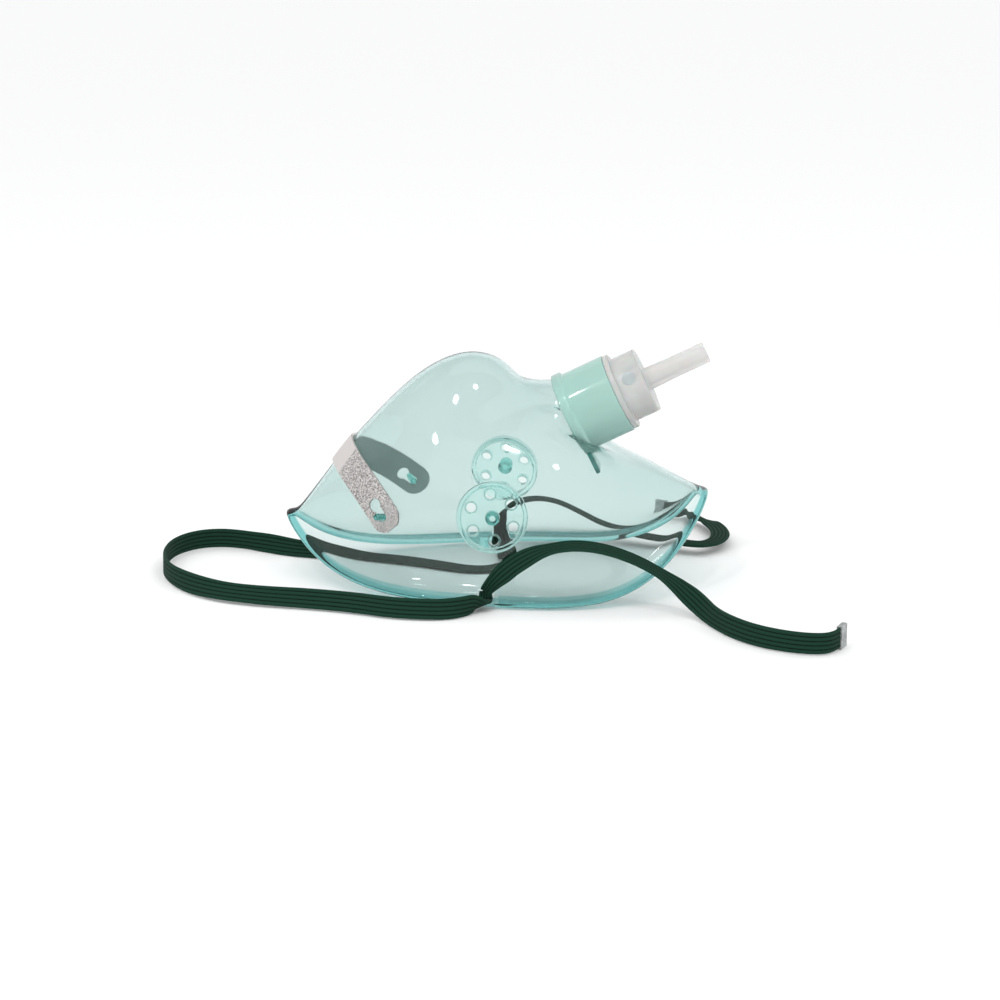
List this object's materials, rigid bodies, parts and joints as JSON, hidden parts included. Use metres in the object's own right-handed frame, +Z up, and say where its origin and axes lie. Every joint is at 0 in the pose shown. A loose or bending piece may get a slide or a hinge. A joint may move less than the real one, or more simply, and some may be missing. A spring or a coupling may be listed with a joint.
{
  "type": "oxygen face mask",
  "caption": "Clear green oxygen face mask with a swivelling tubing connector, bent nose clip, perforated exhalation ports and an elastic head strap.",
  "frame": {"origin": "under the middle of the mask, on the table that its rim rests on, without the head strap", "axes": "+X from the nose end to the chin end and the connector, +Z up, Y across the face; y = 0 is the mask's middle plane"},
  "size_m": [0.2029, 0.1531, 0.0716],
  "materials": {
    "mask_pvc": "clear soft vinyl, pale green",
    "connector_plastic": "translucent milky white, satin",
    "clip_aluminium": "matt and mottled",
    "strap_elastic": "ribbed knitted elastic, very dark green",
    "tag_metal": "dull grey crimp"
  },
  "bodies": {
    "mask": {"mask_shell": "mask_pvc", "nose_clip": "clip_aluminium", "strap_head_loop": "strap_elastic", "strap_near_tail": "strap_elastic", "strap_far_tail": "strap_elastic", "strap_tag_near": "tag_metal", "strap_tag_far": "tag_metal"},
    "connector": {"swivel_connector": "connector_plastic"}
  },
  "joints": [
    {"name": "connector_swivel", "type": "hinge", "parent": "mask", "child": "connector", "pos_m": [0.0361, 0, 0.0563], "axis": [0.8988, 0, 0.4384], "continuous": true}
  ]
}
